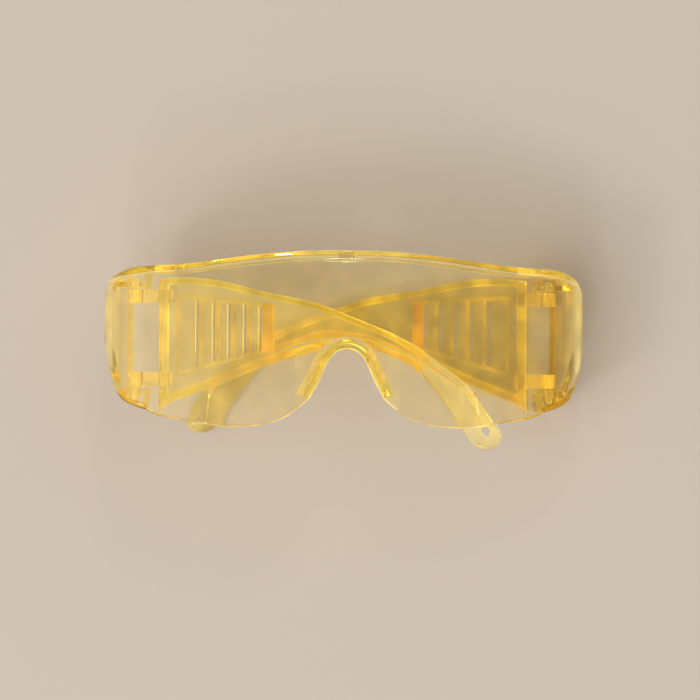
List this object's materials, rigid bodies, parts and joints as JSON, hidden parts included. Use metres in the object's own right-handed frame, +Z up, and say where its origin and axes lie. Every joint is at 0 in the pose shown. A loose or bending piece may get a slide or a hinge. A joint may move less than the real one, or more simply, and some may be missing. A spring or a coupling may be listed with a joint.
{
  "type": "safety glasses",
  "caption": "Wraparound safety glasses in clear amber-yellow plastic: one-piece visor lens with side panels and brow shelf, two wide louvred temples folded behind it on pin hinges.",
  "frame": {"origin": "Centre of the bounding box in plan, on the surface that the folded glasses lie on.", "axes": "+X runs across the glasses towards the wearer's left side panel, +Y towards the brow, +Z up out of the front of the lens. The glasses lie lens-up on their folded temples, with the wearer's left temple outermost, so the lens leans 7 degrees down towards +X."},
  "size_m": [0.1568, 0.0646, 0.0516],
  "materials": {
    "lens_tint": "clear amber-tinted polycarbonate, polished",
    "temple_tint": "clear amber-tinted polycarbonate, polished",
    "pin_tint": "clear amber-tinted plastic pin"
  },
  "bodies": {
    "lens": {"lens_visor": "lens_tint"},
    "right_temple": {"temple_right": "temple_tint", "hinge_pin_right_upper": "pin_tint", "hinge_pin_right_lower": "pin_tint"},
    "left_temple": {"temple_left": "temple_tint", "hinge_pin_left_upper": "pin_tint", "hinge_pin_left_lower": "pin_tint"}
  },
  "joints": [
    {"name": "left_temple_hinge", "type": "hinge", "parent": "lens", "child": "left_temple", "pos_m": [0.06678, 0, 0.0053], "axis": [0, -1, 0], "range_deg": [0, 89]},
    {"name": "right_temple_hinge", "type": "hinge", "parent": "lens", "child": "right_temple", "pos_m": [-0.06979, 0, 0.02207], "axis": [0, 1, 0], "range_deg": [0, 99]}
  ],
  "couplings": [
    {"joint": "right_temple_hinge", "follows": "left_temple_hinge", "ratio": 1.1123}
  ]
}
